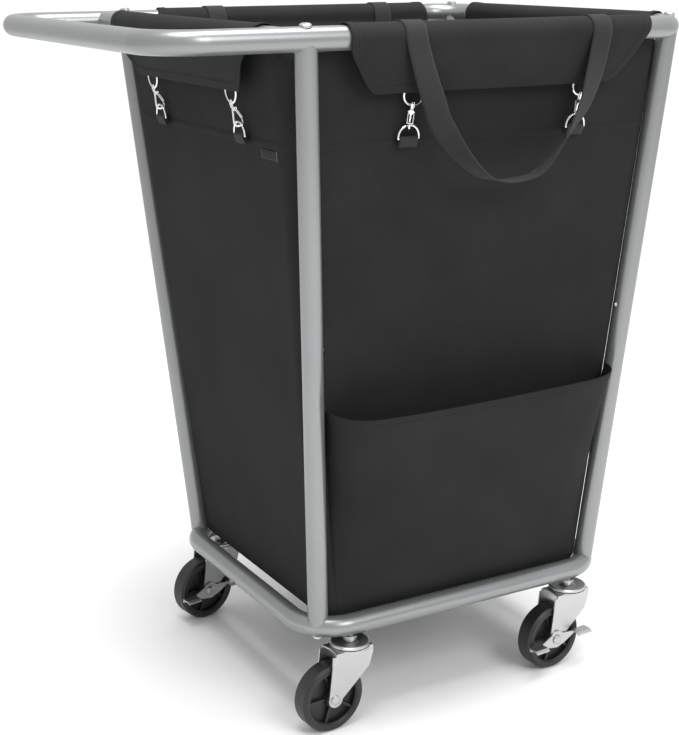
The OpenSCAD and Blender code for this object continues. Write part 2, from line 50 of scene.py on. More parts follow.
rail_low, rail_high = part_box("top_rail")
cross_low, cross_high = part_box("cross_tube")
bag_low, bag_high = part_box("bag_shell")
pocket_low, pocket_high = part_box("pocket")

TUBE_R = (ring_high.z - ring_low.z) / 2
MID_X = (ring_low.x + ring_high.x) / 2
RAIL_Z = (rail_low.z + rail_high.z) / 2
RAIL_Y = rail_high.y - TUBE_R
END_X = rail_high.x - TUBE_R
CROSS_X = (cross_low.x + cross_high.x) / 2
BAG_Z = bag_low.z
BAG_TOP = bag_high.z
BAG_RISE = BAG_TOP - BAG_Z

# The bag's half sizes at its bottom and top, measured from the ring's centre
BOTTOM_END = 187 * MM
BOTTOM_SIDE = 162 * MM
TOP_LEFT = MID_X - bag_low.x
TOP_RIGHT = bag_high.x - MID_X
TOP_SIDE = bag_high.y
FOOT_CORNER, TOP_CORNER = 22 * MM, 38 * MM
CLOTH = 1.3 * MM

# Each side of the top: a start under the tube's centre, the way along it and the way in
SIDES = {
    "near": (Vector((MID_X, -RAIL_Y, 0)), Vector((1, 0, 0)), Vector((0, 1, 0))),
    "far": (Vector((MID_X, RAIL_Y, 0)), Vector((1, 0, 0)), Vector((0, -1, 0))),
    "handle": (Vector((CROSS_X, 0, 0)), Vector((0, -1, 0)), Vector((1, 0, 0))),
    "end": (Vector((END_X, 0, 0)), Vector((0, 1, 0)), Vector((-1, 0, 0))),
}


def on_side(side, along, inward, height):
    start, run, into = SIDES[side]
    return start + run * along + into * inward + Vector((0, 0, height))


def clamp(x, low=0.0, high=1.0):
    return max(low, min(high, x))


def ease(x):
    x = clamp(x)
    return x * x * (3 - 2 * x)


def reading(table, x):
    """The value at x of a line through (x, value) pairs."""
    if x <= table[0][0]:
        return table[0][1]
    for (a, p), (b, q) in zip(table, table[1:]):
        if x <= b:
            return p + (q - p) * (x - a) / (b - a)
    return table[-1][1]


def soft_reading(table, x, spread):
    """The same line with its corners rounded over twice the spread."""
    steps = 6
    offsets = [spread * (2 * k / steps - 1) for k in range(steps + 1)]
    return sum(reading(table, x + d) for d in offsets) / len(offsets)


# ---- materials ----
def new_material(name, colour, metallic, roughness):
    material = bpy.data.materials.new(name)
    material.use_nodes = True
    shader = material.node_tree.nodes["Principled BSDF"]
    shader.inputs["Base Color"].default_value = (*colour, 1)
    shader.inputs["Metallic"].default_value = metallic
    shader.inputs["Roughness"].default_value = roughness
    return material, material.node_tree, shader


def add(tree, kind, **inputs):
    made = tree.nodes.new(kind)
    for key, value in inputs.items():
        made.inputs[key.replace("_", " ")].default_value = value
    return made


def maths(tree, operation, first, second=None):
    made = tree.nodes.new("ShaderNodeMath")
    made.operation = operation
    for socket, value in zip(made.inputs, (first, second)):
        if value is None:
            continue
        if isinstance(value, (int, float)):
            socket.default_value = value
        else:
            tree.links.new(value, socket)
    return made.outputs[0]


def object_noise(tree, scale, detail=2.0, roughness=0.5):
    where = tree.nodes.new("ShaderNodeTexCoord")
    noise = add(tree, "ShaderNodeTexNoise", Scale=scale, Detail=detail, Roughness=roughness)
    tree.links.new(where.outputs["Object"], noise.inputs["Vector"])
    return noise.outputs["Fac"]


def ramp(tree, source, stops):
    made = tree.nodes.new("ShaderNodeValToRGB")
    elements = made.color_ramp.elements
    while len(elements) < len(stops):
        elements.new(0.5)
    for element, (place, colour) in zip(elements, stops):
        element.position = place
        element.color = (*colour, 1)
    tree.links.new(source, made.inputs["Fac"])
    return made.outputs["Color"]


def grey(value):
    return (value, value, value)


def bump(tree, shader, height, strength, distance):
    made = add(tree, "ShaderNodeBump", Strength=strength, Distance=distance)
    tree.links.new(height, made.inputs["Height"])
    tree.links.new(made.outputs["Normal"], shader.inputs["Normal"])


def painted_metal():
    """Satin silver powder coat: a fine orange peel and a slightly uneven gloss."""
    material, tree, shader = new_material("silver_powder_coat", (0.29, 0.297, 0.3), 0.6, 0.34)
    cloudy = object_noise(tree, 9.0, 3.0)
    tint = ramp(tree, cloudy, [(0.3, (0.262, 0.268, 0.271)), (0.7, (0.278, 0.284, 0.287))])
    tree.links.new(tint, shader.inputs["Base Color"])
    peel = object_noise(tree, 520.0, 1.0)
    gloss = ramp(tree, object_noise(tree, 30.0, 2.0), [(0.2, grey(0.29)), (0.8, grey(0.33))])
    tree.links.new(gloss, shader.inputs["Roughness"])
    bump(tree, shader, peel, 0.03, 0.00008)
    return material


def zinc_plate(name, value, low, high):
    """Bright plated steel with rolling marks and a faint blotch."""
    material, tree, shader = new_material(name, grey(value), 1.0, (low + high) / 2)
    blotch = object_noise(tree, 38.0, 2.0)
    tint = ramp(tree, blotch, [(0.25, grey(value * 0.97)), (0.75, grey(value * 1.02))])
    tree.links.new(tint, shader.inputs["Base Color"])
    gloss = ramp(tree, object_noise(tree, 120.0, 3.0), [(0.3, grey(low)), (0.7, grey(high))])
    tree.links.new(gloss, shader.inputs["Roughness"])
    return material


def moulded_plastic(name, dark, light, roughness):
    """Moulded black plastic with a fine spark-eroded grain."""
    material, tree, shader = new_material(name, grey(light), 0.0, roughness)
    tint = ramp(tree, object_noise(tree, 26.0, 3.0), [(0.3, grey(dark)), (0.75, grey(light))])
    tree.links.new(tint, shader.inputs["Base Color"])
    wear = [(0.25, grey(roughness - 0.07)), (0.75, grey(roughness + 0.09))]
    gloss = ramp(tree, object_noise(tree, 60.0, 2.0), wear)
    tree.links.new(gloss, shader.inputs["Roughness"])
    bump(tree, shader, object_noise(tree, 1400.0, 2.0), 0.25, 0.0002)
    return material


def woven(name, dark, light, pitch, sheen, roughness, relief, ribs=0.0):
    """Plain weave on the piece's own cloth map, in metres, with slubs and a soft mottle."""
    material, tree, shader = new_material(name, grey(light), 0.0, roughness)
    shader.inputs["Sheen Weight"].default_value = sheen
    shader.inputs["Sheen Roughness"].default_value = 0.45
    shader.inputs["Specular IOR Level"].default_value = 0.08
    cloth_map = tree.nodes.new("ShaderNodeUVMap")
    cloth_map.uv_map = "cloth"
    split = tree.nodes.new("ShaderNodeSeparateXYZ")
    tree.links.new(cloth_map.outputs["UV"], split.inputs["Vector"])
    turns = math.pi / pitch
    warp = maths(tree, "SINE", maths(tree, "MULTIPLY", split.outputs["X"], turns))
    weft = maths(tree, "SINE", maths(tree, "MULTIPLY", split.outputs["Y"], turns))
    over = maths(tree, "MULTIPLY", warp, weft)
    if ribs:
        edge = maths(tree, "MULTIPLY", split.outputs["X"], 2 * math.pi / ribs)
        over = maths(tree, "ADD", over, maths(tree, "MULTIPLY", maths(tree, "SINE", edge), 0.35))
    slub = object_noise(tree, 700.0, 2.0)
    height = maths(tree, "ADD", over, maths(tree, "MULTIPLY", slub, 1.2))
    bump(tree, shader, height, relief, 0.0005)
    mottle = maths(tree, "MULTIPLY", object_noise(tree, 11.0, 4.0, 0.6), 0.7)
    thread = maths(tree, "MULTIPLY", over, 0.14)
    shade = maths(tree, "ADD", maths(tree, "ADD", mottle, thread), maths(tree, "MULTIPLY", slub, 0.25))
    tint = ramp(tree, shade, [(0.25, grey(dark)), (0.75, grey(light))])
    tree.links.new(tint, shader.inputs["Base Color"])
    return material


silver_paint = painted_metal()
caster_zinc = zinc_plate("caster_zinc", 0.5, 0.34, 0.38)
bolt_zinc = zinc_plate("bolt_zinc", 0.58, 0.3, 0.35)
hook_nickel = zinc_plate("hook_nickel", 0.84, 0.11, 0.15)
wheel_black = moulded_plastic("wheel_black", 0.007, 0.014, 0.46)
plug_grey = moulded_plastic("plug_grey", 0.03, 0.05, 0.5)
# Painted highlight: a light colour standing in for light caught on the woven label's right edge.
label_edge_highlight = moulded_plastic("label_edge_highlight", 0.12, 0.2, 0.6)
bag_cloth = woven("bag_oxford", 0.017, 0.026, 0.00085, 0.015, 0.85, 0.25)
flap_cloth = woven("flap_oxford", 0.018, 0.029, 0.00085, 0.02, 0.84, 0.25)
strap_web = woven("strap_webbing", 0.026, 0.045, 0.0011, 0.08, 0.82, 0.55, ribs=0.0021)
thread_grey = moulded_plastic("sewing_thread", 0.014, 0.026, 0.7)
label_satin = woven("label_satin", 0.005, 0.009, 0.0004, 0.06, 0.5, 0.12)
board_black = moulded_plastic("board_black", 0.02, 0.032, 0.62)


def coat(names, material):
    for name in names:
        node = nodes[name]
        node.data.materials.clear()
        node.data.materials.append(material)
        for polygon in node.data.polygons:
            polygon.material_index = 0


FOUR = range(1, 5)
EIGHT = range(1, 9)
coat(["top_rail", "cross_tube", "bottom_ring"], silver_paint)
coat([f"{half}_leg_{i}" for half in ("upper", "lower") for i in FOUR], silver_paint)
coat([f"caster_stem_{i}" for i in FOUR] + [f"fork_{i}" for i in FOUR], caster_zinc)
coat([f"axle_{i}" for i in FOUR] + ["brake_lever_2", "brake_lever_3"], caster_zinc)
coat(["leg_bolts", "snap_buttons", "stem_nuts"], bolt_zinc)
coat(["leg_plugs"], plug_grey)
coat([f"wheel_{i}" for i in FOUR], wheel_black)
coat([f"hook_{k}" for k in EIGHT] + [f"gate_{k}" for k in EIGHT] + ["d_rings"], hook_nickel)
coat(["base_board"], board_black)


# ---- cloth pieces ----
def new_piece(name, bm, material, body="cart", replaced=(), smooth=True):
    for face in bm.faces:
        face.smooth = smooth
    mesh = bpy.data.meshes.new(name)
    bm.to_mesh(mesh)
    bm.free()
    mesh.materials.append(material)
    piece = bpy.data.objects.new(name, mesh)
    bpy.context.scene.collection.objects.link(piece)
    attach(piece, body)
    if replaced:
        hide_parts(*replaced)
    return piece


def thicken(piece, thickness):
    wall = piece.modifiers.new("cloth thickness", "SOLIDIFY")
    wall.thickness = thickness
    wall.offset = -1
    return piece


def lay_cloth(bm, width, length, columns, rows, place, outward):
    """Adds a sheet cut width by length to bm: place(across, up) lays each point, from 0 to 1."""
    cloth_map = bm.loops.layers.uv.get("cloth") or bm.loops.layers.uv.new("cloth")
    made = bmesh.ops.create_grid(bm, x_segments=columns, y_segments=rows, size=0.5)
    verts = made["verts"]
    faces = {face for vert in verts for face in vert.link_faces}
    for face in faces:
        for corner in face.loops:
            spot = corner.vert.co
            corner[cloth_map].uv = ((spot.x + 0.5) * width, (spot.y + 0.5) * length)
    for vert in verts:
        vert.co = place(clamp(vert.co.x + 0.5), clamp(vert.co.y + 0.5))
    lean = 0.0
    for face in faces:
        face.normal_update()
        lean += face.normal.dot(outward(face.calc_center_median())) * face.calc_area()
    if lean < 0:
        bmesh.ops.reverse_faces(bm, faces=list(faces))
    return verts


def stitch_row(bm, points, stitch=3.2 * MM, gap=1.5 * MM, radius=0.3 * MM):
    """Sewn stitches along a line of points: short rounded threads with gaps between them."""
    travelled = [0.0]
    for a, b in zip(points, points[1:]):
        travelled.append(travelled[-1] + (b - a).length)

    def at(distance):
        for k in range(len(points) - 1):
            if distance <= travelled[k + 1] or k == len(points) - 2:
                span = max(travelled[k + 1] - travelled[k], 1e-9)
                return points[k].lerp(points[k + 1], clamp((distance - travelled[k]) / span))

    place = gap
    while place + stitch < travelled[-1]:
        a, b = at(place), at(place + stitch)
        turn = (b - a).to_track_quat("Z", "Y").to_matrix().to_4x4()
        bmesh.ops.create_cone(
            bm,
            cap_ends=True,
            segments=5,
            radius1=radius,
            radius2=radius,
            depth=(b - a).length,
            matrix=Matrix.Translation((a + b) / 2) @ turn,
        )
        place += stitch + gap


# ---- bag body ----
LONG_SHARE, CORNER_SHARE, SHORT_SHARE = 0.235, 0.045, 0.175


def bag_plan(share, left, right, half, radius):
    """A point on a rounded rectangle, going round from its near left corner, and the way out."""
    share = share % 1.0
    parts = [LONG_SHARE, CORNER_SHARE, SHORT_SHARE, CORNER_SHARE] * 2
    corners = [(right - radius, -half + radius), (right - radius, half - radius),
               (-left + radius, half - radius), (-left + radius, -half + radius)]
    begins = 0.0
    for k, part in enumerate(parts):
        if share <= begins + part or k == len(parts) - 1:
            u = (share - begins) / part
            break
        begins += part
    turn = math.radians(90 * (k // 2) - 90)
    out = Vector((math.cos(turn), math.sin(turn)))
    if k % 2 == 0:
        a = Vector(corners[k // 2 - 1]) + out * radius
        b = Vector(corners[k // 2]) + out * radius
        return a.lerp(b, u), out, u, True
    turn += math.radians(90 * u)
    out = Vector((math.cos(turn), math.sin(turn)))
    return Vector(corners[k // 2]) + out * radius, out, u, False


def bag_point(share, height, lift=0.0):
    """A point on the bag's outside at a height: the cloth sags between its corners, which fill
    out towards the legs."""
    k = (height - BAG_Z) / BAG_RISE
    spot, out, u, straight = bag_plan(
        share,
        BOTTOM_END + (TOP_LEFT - BOTTOM_END) * k,
        BOTTOM_END + (TOP_RIGHT - BOTTOM_END) * k,
        BOTTOM_SIDE + (TOP_SIDE - BOTTOM_SIDE) * k,
        FOOT_CORNER + (TOP_CORNER - FOOT_CORNER) * k,
    )
    sag = 0.0
    if straight:
        middle = 1 - (2 * u - 1) ** 2
        sag = 2.6 * MM * middle * math.sin(math.pi * clamp(k)) ** 1.2
        sag += 0.5 * MM * middle * math.sin(9.5 * u + 4.1 * k) * math.sin(2.6 * math.pi * k)
        sag += 0.35 * MM * middle * math.sin(23.0 * u + 3.0 * k) * ease(3 * (k - 0.62))
    else:
        room = (2.2 - 2.15 * clamp(k)) * MM if spot.x > 0 else 2.0 * MM
        if spot.x > 0 > spot.y:
            room += 0.12 * MM
        if lift > 0:
            beside = math.sin(math.pi * clamp(u))
            lift = lift * (1 - 0.92 * beside) - 0.16 * MM * beside
        sag = -room * math.sin(math.pi * clamp(u)) ** 0.8
    turned = (2 if out.y < -0.5 else 5) * MM
    foot = clamp(1 - (height - BAG_Z) / turned)
    sag += turned * (1 - math.sqrt(1 - foot * foot * 0.98))
    spot = spot + out * (lift - sag)
    return Vector((MID_X + spot.x, spot.y, height))


def corner_dip(share):
    """How far the cut edge dips at the corners, where no flap holds it up."""
    share = share % 1.0
    middles = (LONG_SHARE + CORNER_SHARE / 2, 0.5 - CORNER_SHARE / 2,
               0.5 + LONG_SHARE + CORNER_SHARE / 2, 1 - CORNER_SHARE / 2)
    near = min(min(abs(share - m), 1 - abs(share - m)) for m in middles)
    return 3 * MM * ease(1.6 - near / 0.026)


def out_of_cart(spot):
    return Vector((spot.x - MID_X, spot.y, 0))


def bag_body():
    bm = bmesh.new()

    def place(across, up):
        top = BAG_TOP - corner_dip(across)
        return bag_point(across, BAG_Z + (top - BAG_Z) * up ** 1.05)

    verts = lay_cloth(bm, 1.5, 0.68, 220, 96, place, out_of_cart)
    bmesh.ops.remove_doubles(bm, verts=verts, dist=1e-6)
    foot = [e for e in bm.edges if e.is_boundary and max(v.co.z for v in e.verts) < BAG_Z + MM]
    floor = bmesh.ops.contextual_create(bm, geom=foot)["faces"]
    cloth_map = bm.loops.layers.uv["cloth"]
    for face in floor:
        for corner in face.loops:
            corner[cloth_map].uv = corner.vert.co.xy
    bm.normal_update()
    if floor and floor[0].normal.z > 0:
        bmesh.ops.reverse_faces(bm, faces=floor)
    bmesh.ops.inset_region(bm, faces=floor, thickness=8 * MM, use_even_offset=True)
    return thicken(new_piece("bag_body", bm, bag_cloth, replaced=["bag_shell"]), CLOTH)


SEAM_Z = 682 * MM


def bag_seams():
    """The lapped seam round the bag's upper band, and its two rows of stitches."""
    bm = bmesh.new()

    def lap(across, up):
        height = SEAM_Z - 4.5 * MM + 9 * MM * up
        return bag_point(across, height, (0.15 + 0.75 * ease(3 * (1 - up)) * ease(6 * up)) * MM)

    verts = lay_cloth(bm, 1.5, 0.009, 220, 8, lap, out_of_cart)
    bmesh.ops.remove_doubles(bm, verts=verts, dist=1e-6)
    new_piece("bag_band_seam", bm, bag_cloth)
    bm = bmesh.new()
    steps = 400
    for height in (SEAM_Z + 1.5 * MM, BAG_Z + 10 * MM):
        row = [bag_point(k / steps, height, 0.55 * MM if height > 0.5 else 0.15 * MM)
               for k in range(steps + 1)]
        stitch_row(bm, row)
    new_piece("bag_stitching", bm, thread_grey)


def rim_binding():
    """Narrow tape folded over the bag's cut edge where it dips at the corners."""
    bm = bmesh.new()
    middles = (LONG_SHARE + CORNER_SHARE / 2, 0.5 - CORNER_SHARE / 2,
               0.5 + LONG_SHARE + CORNER_SHARE / 2, 1 - CORNER_SHARE / 2)
    for middle in middles:
        def place(across, up, middle=middle):
            share = middle + (across - 0.5) * 0.11
            top = BAG_TOP - corner_dip(share)
            turn = math.pi * clamp((up - 0.35) / 0.3)
            drop = 7 * MM * (clamp((0.35 - up) / 0.35) + clamp((up - 0.65) / 0.35))
            spot = bag_point(share, top - drop, -0.65 * MM + 1.1 * MM * math.cos(turn))
            spot.z += 1.0 * MM * math.sin(turn) + 0.2 * MM
            return spot

        lay_cloth(bm, 0.16, 0.018, 48, 14, place, lambda spot: Vector((0, 0, 1)))
    new_piece("bag_rim_binding", bm, bag_cloth)


# ---- flaps over the rails ----
LAP = 16 * MM
WRAP_R = TUBE_R + 2.1 * MM
HEM_IN = 18.4 * MM - WRAP_R
HEM_DROP = 57.7 * MM
HEM_FAR = math.hypot(HEM_IN, HEM_DROP)
LEAVE = 2 * math.pi - math.atan2(HEM_DROP, HEM_IN) - math.acos(WRAP_R / HEM_FAR)
ARC = WRAP_R * LEAVE
SKIRT = math.sqrt(HEM_FAR ** 2 - WRAP_R ** 2)
FLAP_RUN = LAP + ARC + SKIRT
HEM_W = 9.5 * MM


def flap_fall(run):
    """(inward, height above the tube's centre, way out) after a run of cloth from the bag's inside."""
    if run < LAP:
        height = run - LAP
        lapped = 1.7 * MM * ease((-height - 7 * MM) / (7 * MM))
        return WRAP_R + lapped, height, (1.0, 0.0)
    if run < LAP + ARC:
        turn = (run - LAP) / WRAP_R
        return WRAP_R * math.cos(turn), WRAP_R * math.sin(turn), (math.cos(turn), math.sin(turn))
    out = (math.cos(LEAVE), math.sin(LEAVE))
    down = run - LAP - ARC
    bow = WRAP_R + 1.3 * MM * math.sin(math.pi * clamp(down / SKIRT)) ** 2
    return bow * out[0] - down * out[1], bow * out[1] + down * out[0], out


def flap_edges(low, high, flares):
    """Left and right edges along the rail, against the cloth's run, from hanging outlines."""
    def edge(table, flare):
        start = LAP + WRAP_R * math.pi / 2
        hang = [(LAP + WRAP_R * math.pi + 1.05 * drop * MM, s * MM) for drop, s in table[1:]]
        return [(0.0, (table[0][1] + flare) * MM), (LAP, (table[0][1] + flare * 0.7) * MM),
                (start, table[0][1] * MM)] + hang
    return edge(low, flares[0]), edge(high, flares[1])


def flap(side, low, high, name, node, wave, flares=(-12, 8)):
    left, right = flap_edges(low, high, flares)

    def outline(run):
        end = FLAP_RUN - run
        spread = 7 * MM if end > 9 * MM else 3.5 * MM
        return soft_reading(left, run, spread), soft_reading(right, run, spread)

    def spot(along, run, lift=0.0):
        inward, height, out = flap_fall(run)
        hang = clamp((run - LAP - ARC) / SKIRT)
        ripple = 0.6 * MM * hang ** 1.5 * (1 + math.sin(along * 21 + wave)) / 2
        lift += ripple
        return on_side(side, along, inward + out[0] * lift, RAIL_Z + height + out[1] * lift)

    def place(across, up):
        run = FLAP_RUN * up
        a, b = outline(run)
        along = a + (b - a) * across
        edge = min(FLAP_RUN - run, (along - a) if run > LAP + 0.3 * ARC else 1,
                   (b - along) if run > LAP + 0.3 * ARC else 1)
        hem = 0.75 * MM * ease((HEM_W + 1.2 * MM - edge) / (1.6 * MM))
        return spot(along, run, hem)

    start, _, into = SIDES[side]

    def outward(point):
        inward = (point - start).dot(into)
        return into * inward + Vector((0, 0, point.z - RAIL_Z + 0.02))

    bm = bmesh.new()
    lay_cloth(bm, 0.4, FLAP_RUN, 150, 76, place, outward)
    thicken(new_piece(name, bm, flap_cloth, replaced=[node]), CLOTH)

    bm = bmesh.new()
    inset = HEM_W - 1.0 * MM
    top = LAP + 0.45 * ARC
    foot = FLAP_RUN - inset
    steps = 40
    rows = []
    for k in range(steps + 1):
        run = top + (foot - top) * k / steps
        rows.append(spot(outline(run)[0] + inset, run, 1.0 * MM))
    a, b = outline(foot)
    for k in range(1, 60):
        rows.append(spot(a + inset + (b - a - 2 * inset) * k / 60, foot, 1.0 * MM))
    for k in range(steps + 1):
        run = foot + (top - foot) * k / steps
        rows.append(spot(outline(run)[1] - inset, run, 1.0 * MM))
    stitch_row(bm, rows)
    new_piece(name + "_stitching", bm, thread_grey)


LONG_LOW = [(0, -198), (6, -197.5), (14, -197), (30, -186), (47, -174), (55, -166), (64, -150)]
LONG_HIGH = [(0, 190), (6, 184), (14, 177), (32, 165), (49, 154), (56, 144), (64, 128)]
HANDLE_LOW = [(0, -180), (8, -176), (22, -164), (40, -151), (54, -138), (64, -122)]
HANDLE_HIGH = [(0, 203), (8, 193), (22, 167), (40, 151), (54, 138), (64, 122)]
END_LOW = [(0, -187), (8, -181), (22, -166), (40, -151), (54, -138), (64, -122)]
END_HIGH = [(drop, -s) for drop, s in END_LOW]


# ---- pocket ----
POCKET_RIM = [(-195.5, -186.4), (-196, -199), (-195, -214), (-189.5, -228.5), (-179, -239.5),
              (-162, -246.5), (-134, -249.4), (-97, -250), (-45, -249.4), (10, -247.2),
              (67, -243.6), (111, -241), (142, -237.2), (163, -230), (179, -219), (190, -204),
              (194.5, -194), (195.5, -186.4)]
POCKET_FOOT_HALF = 174
POCKET_FOOT_Y = -162.2
POCKET_FOOT = pocket_low.z - 4 * MM
POCKET_TOP = pocket_high.z


def resampled(points, count):
    """Evenly spaced points along a smooth line through the given ones."""
    fine = []
    for k in range(len(points) - 1):
        p0, p1 = points[max(k - 1, 0)], points[k]
        p2, p3 = points[k + 1], points[min(k + 2, len(points) - 1)]
        for j in range(12):
            t = j / 12
            fine.append(0.5 * ((2 * p1) + (p2 - p0) * t + (2 * p0 - 5 * p1 + 4 * p2 - p3) * t * t
                               + (3 * p1 - p0 - 3 * p2 + p3) * t ** 3))
    fine.append(points[-1])
    travelled = [0.0]
    for a, b in zip(fine, fine[1:]):
        travelled.append(travelled[-1] + (b - a).length)
    result, k = [], 0
    for j in range(count + 1):
        want = travelled[-1] * j / count
        while k < len(fine) - 2 and travelled[k + 1] < want:
            k += 1
        span = max(travelled[k + 1] - travelled[k], 1e-9)
        result.append(fine[k].lerp(fine[k + 1], clamp((want - travelled[k]) / span)))
    return result


def pocket():
    columns = 150
    rim = resampled([Vector((x * MM, y * MM)) for x, y in POCKET_RIM], columns)
    foot = []
    for j in range(columns + 1):
        x = (2 * j / columns - 1) * POCKET_FOOT_HALF
        turned_in = 4 * ease((abs(x) - POCKET_FOOT_HALF + 8) / 8)
        foot.append(Vector((x * MM, (POCKET_FOOT_Y + turned_in) * MM)))

    def spot(across, height, lift=0.0):
        k = clamp(across * columns, 0, columns - 1e-6)
        j = int(k)
        up = (height - POCKET_FOOT) / (POCKET_TOP - POCKET_FOOT)
        low, high = foot[j].lerp(foot[j + 1], k - j), rim[j].lerp(rim[j + 1], k - j)
        along = (rim[j + 1] - rim[j]).normalized()
        out = Vector((along.y, -along.x))
        middle = math.sin(math.pi * clamp(across)) ** 0.6
        belly = 2.4 * MM * middle * math.sin(math.pi * clamp(up)) * (1 - up * 0.4)
        belly += 0.6 * MM * middle * math.sin(11 * across + 1.3) * math.sin(math.pi * clamp(up))
        place = low.lerp(high, up) + out * (lift + belly)
        return Vector((MID_X + place.x, place.y, height))

    def place(across, up):
        height = POCKET_FOOT + (POCKET_TOP - POCKET_FOOT) * up
        hem = 0.8 * MM * ease((9.5 * MM - (POCKET_TOP - height)) / (1.6 * MM))
        return spot(across, height, hem)

    bm = bmesh.new()
    lay_cloth(bm, 0.5, 0.27, columns, 110, place, lambda spot: Vector((0, -1, 0)))
    thicken(new_piece("front_pocket", bm, bag_cloth, replaced=["pocket"]), CLOTH)
    bm = bmesh.new()
    steps = 200
    row = [spot(k / steps, POCKET_TOP - 8.3 * MM, 1.0 * MM) for k in range(steps + 1)]
    stitch_row(bm, row)
    row = [spot(0.03 + 0.94 * k / steps, POCKET_FOOT + 9 * MM, 0.2 * MM) for k in range(steps + 1)]
    stitch_row(bm, row)
    new_piece("front_pocket_stitching", bm, thread_grey)


# ---- carry straps ----
STRAP_W = 25 * MM
STRAP_T = 1.4 * MM
STRAP_R = WRAP_R + 1.5 * MM
STRAP_HALF = 123
STRAP_DROP = 157
NEAR_LOOP = [(-122.5, 0), (-119, 14), (-108.5, 45), (-100.5, 65), (-91.5, 88), (-76, 110.5),
             (-59, 130), (-36, 148.5), (-14, 155.6), (6, 156.6), (34, 152), (53, 139), (72, 119),
             (86, 98), (99.5, 75), (108.5, 45), (114.5, 16), (117, 0)]


def strap(side, name, node, loop):
    """Webbing from inside the bag, over the rail, round its hanging loop and back over the rail."""
    root = 88 * MM
    wall_lean = (TOP_SIDE - BOTTOM_SIDE) / BAG_RISE
    first, last = loop[0][0] * MM, loop[-1][0] * MM

    def rise(along):
        path = []
        for k in range(9):
            below = root * (1 - k / 8)
            inward = STRAP_R + max(0.0, below - 12 * MM) * wall_lean + 0.9 * MM
            path.append((Vector((along, inward, -below)), Vector((1, 0, 0))))
        for k in range(1, 17):
            turn = math.pi * k / 16
            spot = Vector((along, STRAP_R * math.cos(turn), STRAP_R * math.sin(turn)))
            path.append((spot, Vector((1, 0, 0))))
        return path

    flat = [Vector((s * MM, -drop * MM)) for s, drop in loop]
    count = 110
    hang = resampled(flat, count)
    body = []
    for k in range(1, count):
        share = k / count
        dip = clamp(-hang[k].y / (STRAP_DROP * MM))
        turn = math.radians(90) * math.sin(math.pi * share) ** 2.2
        tangent = (hang[min(k + 1, count)] - hang[max(k - 1, 0)]).normalized()
        flatways = Vector((-tangent.y, 0, tangent.x))
        width = math.cos(turn) * flatways - math.sin(turn) * Vector((0, 1, 0))
        inward = -STRAP_R - 0.5 * MM + 5 * MM * dip
        body.append((Vector((hang[k].x, inward, hang[k].y)), width.normalized()))
    path = rise(first) + body + [(spot, -way) for spot, way in reversed(rise(last))]
    rows = len(path) - 1
    start, run_way, into = SIDES[side]

    def to_cart(v):
        return run_way * v.x + into * v.y + Vector((0, 0, v.z))

    def place(across, up):
        k = clamp(up * rows, 0, rows - 1e-6)
        j = int(k + 1e-4)
        j = min(j, rows)
        spot, way = path[j]
        return start + Vector((0, 0, RAIL_Z)) + to_cart(spot + way * (across - 0.5) * STRAP_W)

    def outward(point):
        return Vector((0, 0, 1)) if point.z > RAIL_Z else Vector((0, 0, 0))

    length = sum((b[0] - a[0]).length for a, b in zip(path, path[1:]))
    bm = bmesh.new()
    lay_cloth(bm, STRAP_W, length, 8, rows, place, outward)
    piece = new_piece(name, bm, strap_web, replaced=[node])
    thicken(piece, STRAP_T)
    bm = bmesh.new()
    for along in (first, last):
        inward = STRAP_R + 0.9 * MM + wall_lean * (root - 22 * MM) + 0.35 * MM
        corners = [(-10, -84), (10, -84), (10, -64), (-10, -64), (-10, -84), (10, -64)]
        crossing = [(10, -84), (-10, -64)]
        for line in (corners, crossing):
            row = []
            for a, b in zip(line, line[1:]):
                for k in range(9):
                    s, z = a[0] + (b[0] - a[0]) * k / 8, a[1] + (b[1] - a[1]) * k / 8
                    lean = wall_lean * (-z - 74) * MM
                    spot = Vector((along + s * MM, inward + lean, z * MM))
                    row.append(start + Vector((0, 0, RAIL_Z)) + to_cart(spot))
            stitch_row(bm, row, 2.4 * MM, 1.2 * MM)
    new_piece(name + "_stitching", bm, thread_grey)
    return piece


def even_loop():
    """The far strap's loop: an even U of the same depth."""
    points = []
    for k in range(25):
        t = math.pi * k / 24
        side = -STRAP_HALF * math.copysign(abs(math.cos(t)) ** (2 / 1.7), math.cos(t))
        points.append((side, STRAP_DROP * math.sin(t) ** (2 / 1.7)))
    return points


# ---- webbing tabs that hold the rings ----
HOOK_ALONG = {"near": 110, "far": 110, "handle": 106, "end": 106}
EYE_IN = {"near": 12, "far": 12, "handle": 8.7, "end": 9.4}
HOOK_LEAN = {"near": 17.5, "far": 17.5, "handle": 6, "end": 9}
GATE_TURN = {"near": -120, "far": -120, "handle": 55, "end": -120}
WALL_LEAN = math.degrees(math.atan((TOP_SIDE - BOTTOM_SIDE) / BAG_RISE))
EYE_Z = RAIL_Z - 71.5 * MM
CROOK_R = 4.6 * MM
HOOK_L = 25.2 * MM
RING_R = 12.7 * MM
TAB_W = 22 * MM


